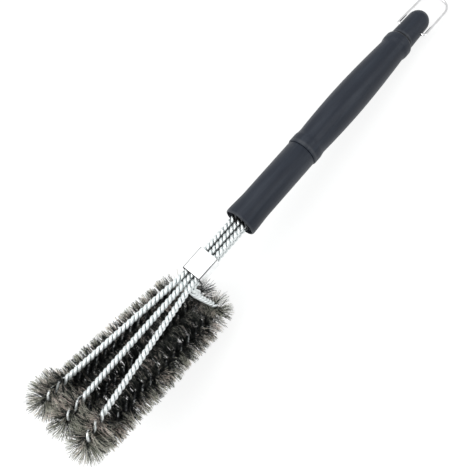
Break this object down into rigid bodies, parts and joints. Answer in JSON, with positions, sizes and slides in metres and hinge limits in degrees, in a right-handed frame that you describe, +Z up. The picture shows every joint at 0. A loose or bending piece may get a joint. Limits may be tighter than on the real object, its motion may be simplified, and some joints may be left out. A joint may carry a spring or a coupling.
{
  "type": "grill cleaning brush",
  "caption": "Long-handled grill brush: looped stems of twisted steel wire with radial bristles, a clamp sleeve, a hollow handle and a swinging hanging bail.",
  "frame": {"origin": "middle of the brush's footprint, on the plane that it rests on", "axes": "+X along the brush, from the bristled head towards the handle's end; +Z up, on the side of the bare struts; +Y to the right of someone who holds the handle and looks towards the head"},
  "size_m": [0.4772, 0.076, 0.0952],
  "materials": {
    "stem_wire": "bright galvanised wire",
    "bristle_steel": "dull crimped filaments",
    "polished_steel": "polished",
    "handle_plastic": "fine matte grain",
    "bail_chrome": "bright plated wire"
  },
  "bodies": {
    "brush": {"right_stem_wire_a": "stem_wire", "right_stem_wire_b": "stem_wire", "middle_stem_wire_a": "stem_wire", "middle_stem_wire_b": "stem_wire", "left_stem_wire_a": "stem_wire", "left_stem_wire_b": "stem_wire", "right_bristles": "bristle_steel", "middle_bristles": "bristle_steel", "left_bristles": "bristle_steel", "clamp_sleeve": "polished_steel", "wire_anchor_plug": "handle_plastic", "handle_front_sleeve": "handle_plastic", "handle_grip": "handle_plastic", "handle_tail_cap": "handle_plastic"},
    "bail": {"hanging_bail": "bail_chrome"}
  },
  "joints": [
    {"name": "bail_swing", "type": "hinge", "parent": "brush", "child": "bail", "pos_m": [0.1945, -0.0001, 0.01135], "axis": [0, 1, 0], "range_deg": [-158, 149]}
  ]
}
